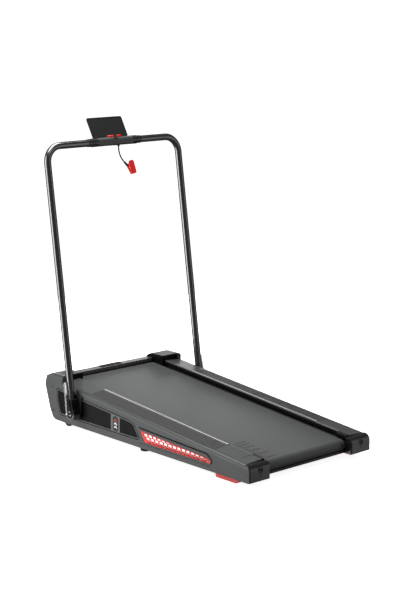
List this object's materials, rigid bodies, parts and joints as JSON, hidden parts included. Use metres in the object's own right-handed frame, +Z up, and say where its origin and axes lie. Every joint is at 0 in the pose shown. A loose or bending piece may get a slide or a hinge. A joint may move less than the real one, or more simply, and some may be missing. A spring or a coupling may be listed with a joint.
{
  "type": "folding walking treadmill",
  "caption": "Low motorised walking treadmill: tilted belt deck in a wedge base with a folding U handrail, console, phone holder and safety lanyard.",
  "frame": {"origin": "on the floor, under the middle of the base and of the whole object's box", "axes": "+X towards the walker's right, +Y forward to the handrail end, +Z up"},
  "size_m": [0.6638, 1.0669, 1.0885],
  "materials": {
    "painted_steel_black": "satin powder coat",
    "charcoal_plastic": "satin moulded",
    "deck_board": "black laminated fibreboard",
    "rubber_black": "matt",
    "running_belt": "fine diamond texture",
    "roller_steel": "turned",
    "bearing_steel": "ground",
    "motor_can": "satin",
    "controller_aluminium": "sand blasted",
    "pan_plastic": "moulded",
    "hood_plastic": "satin gloss",
    "display_lens": "polished",
    "rail_plastic": "fine spark texture",
    "tread_rubber": "ribbed",
    "gloss_black_plastic": "gloss",
    "bolt_black": "black oxide",
    "window_black": "satin gloss",
    "bezel_grey": "satin",
    "red_plastic": "gloss",
    "diffuser_white": "matt",
    "red_rubber": "satin",
    "inlet_black": "moulded",
    "tube_enamel": "gloss enamel",
    "chrome": "polished",
    "console_grey": "satin",
    "holder_black": "fine texture",
    "cord_black": "smooth"
  },
  "bodies": {
    "base": {"frame_rails": "painted_steel_black", "cross_members": "painted_steel_black", "deck_board": "deck_board", "deck_cushions": "rubber_black", "running_belt": "running_belt", "roller_axles": "bearing_steel", "motor": "motor_can", "drive_belt": "rubber_black", "motor_mount": "painted_steel_black", "motor_controller": "controller_aluminium", "belly_pan": "pan_plastic", "side_cover_left": "charcoal_plastic", "side_cover_right": "charcoal_plastic", "front_cap_left": "charcoal_plastic", "front_cap_right": "charcoal_plastic", "front_hood": "hood_plastic", "display_lens": "display_lens", "foot_rail_left": "rail_plastic", "foot_rail_right": "rail_plastic", "tread_inserts": "tread_rubber", "rear_caps": "gloss_black_plastic", "tension_bolts": "bolt_black", "window_panels": "window_black", "window_bezels": "bezel_grey", "side_badges": "gloss_black_plastic", "mesh_trays": "window_black", "side_meshes": "red_plastic", "mesh_backings": "diffuser_white", "cover_screws": "bolt_black", "wheel_forks": "painted_steel_black", "wheel_axles": "bearing_steel", "mid_feet": "rubber_black", "rear_feet": "red_rubber", "power_inlet": "inlet_black", "handlebar_brackets": "painted_steel_black"},
    "front_roller": {"front_roller": "roller_steel", "front_roller_bearings": "bearing_steel"},
    "rear_roller": {"rear_roller": "roller_steel", "rear_roller_bearings": "bearing_steel"},
    "motor_rotor": {"motor_shaft": "bearing_steel"},
    "wheel_left": {"transport_wheel_left": "rubber_black"},
    "wheel_right": {"transport_wheel_right": "rubber_black"},
    "switch_rocker": {"power_switch": "red_plastic"},
    "handlebar": {"handlebar_tube": "tube_enamel", "pivot_boots": "gloss_black_plastic", "pivot_bolts": "bearing_steel", "console_housing": "console_grey", "console_band": "gloss_black_plastic", "console_collars": "gloss_black_plastic", "holder_bracket": "gloss_black_plastic", "lanyard_cord": "cord_black", "lanyard_swivel": "gloss_black_plastic", "clip_base": "red_plastic", "clip_pin_and_spring": "bearing_steel"},
    "lever_left": {"clamp_lever_left": "chrome"},
    "lever_right": {"clamp_lever_right": "chrome"},
    "phone_holder": {"phone_holder": "holder_black"},
    "safety_key": {"safety_key": "red_plastic", "key_tab": "gloss_black_plastic"},
    "clip_front_jaw": {"clip_jaw": "red_plastic"}
  },
  "joints": [
    {"name": "handlebar_fold", "type": "hinge", "parent": "base", "child": "handlebar", "pos_m": [0, 0.34307, 0.07803], "axis": [1, 0, 0], "range_deg": [0, 95]},
    {"name": "lever_left_release", "type": "hinge", "parent": "handlebar", "child": "lever_left", "pos_m": [-0.3262, 0.34307, 0.07803], "axis": [0, -0.9826, 0.1857], "range_deg": [0, 90]},
    {"name": "lever_right_release", "type": "hinge", "parent": "handlebar", "child": "lever_right", "pos_m": [0.3262, 0.34307, 0.07803], "axis": [0, 0.9826, -0.1857], "range_deg": [0, 90]},
    {"name": "phone_holder_tilt", "type": "hinge", "parent": "handlebar", "child": "phone_holder", "pos_m": [0, 0.49146, 1.01842], "axis": [1, 0, 0], "range_deg": [-45, 30]},
    {"name": "safety_key_lift", "type": "slide", "parent": "handlebar", "child": "safety_key", "axis": [0, 0, 1], "range_m": [0, 0.012]},
    {"name": "clip_squeeze", "type": "hinge", "parent": "handlebar", "child": "clip_front_jaw", "pos_m": [0.0637, 0.4524, 0.909], "axis": [-0.9906, -0.0514, -0.1271], "range_deg": [0, 15], "stiffness_Nm_per_rad": 0.05, "springref_deg": -11.46},
    {"name": "front_roller_spin", "type": "hinge", "parent": "base", "child": "front_roller", "pos_m": [0, 0.4809, 0.13987], "axis": [1, 0, 0], "continuous": true},
    {"name": "rear_roller_spin", "type": "hinge", "parent": "base", "child": "rear_roller", "pos_m": [0, -0.48694, 0.05009], "axis": [1, 0, 0], "continuous": true},
    {"name": "motor_spin", "type": "hinge", "parent": "base", "child": "motor_rotor", "pos_m": [0, 0.405, 0.064], "axis": [1, 0, 0], "continuous": true},
    {"name": "wheel_left_spin", "type": "hinge", "parent": "base", "child": "wheel_left", "pos_m": [-0.245, 0.44, 0.017], "axis": [1, 0, 0], "continuous": true},
    {"name": "wheel_right_spin", "type": "hinge", "parent": "base", "child": "wheel_right", "pos_m": [0.245, 0.44, 0.017], "axis": [1, 0, 0], "continuous": true},
    {"name": "power_switch_rock", "type": "hinge", "parent": "base", "child": "switch_rocker", "pos_m": [0.127, 0.5139, 0.0929], "axis": [1, 0, 0], "range_deg": [0, 10]}
  ],
  "couplings": [
    {"joint": "rear_roller_spin", "follows": "front_roller_spin", "ratio": 1},
    {"joint": "motor_spin", "follows": "front_roller_spin", "ratio": 2.1818}
  ]
}
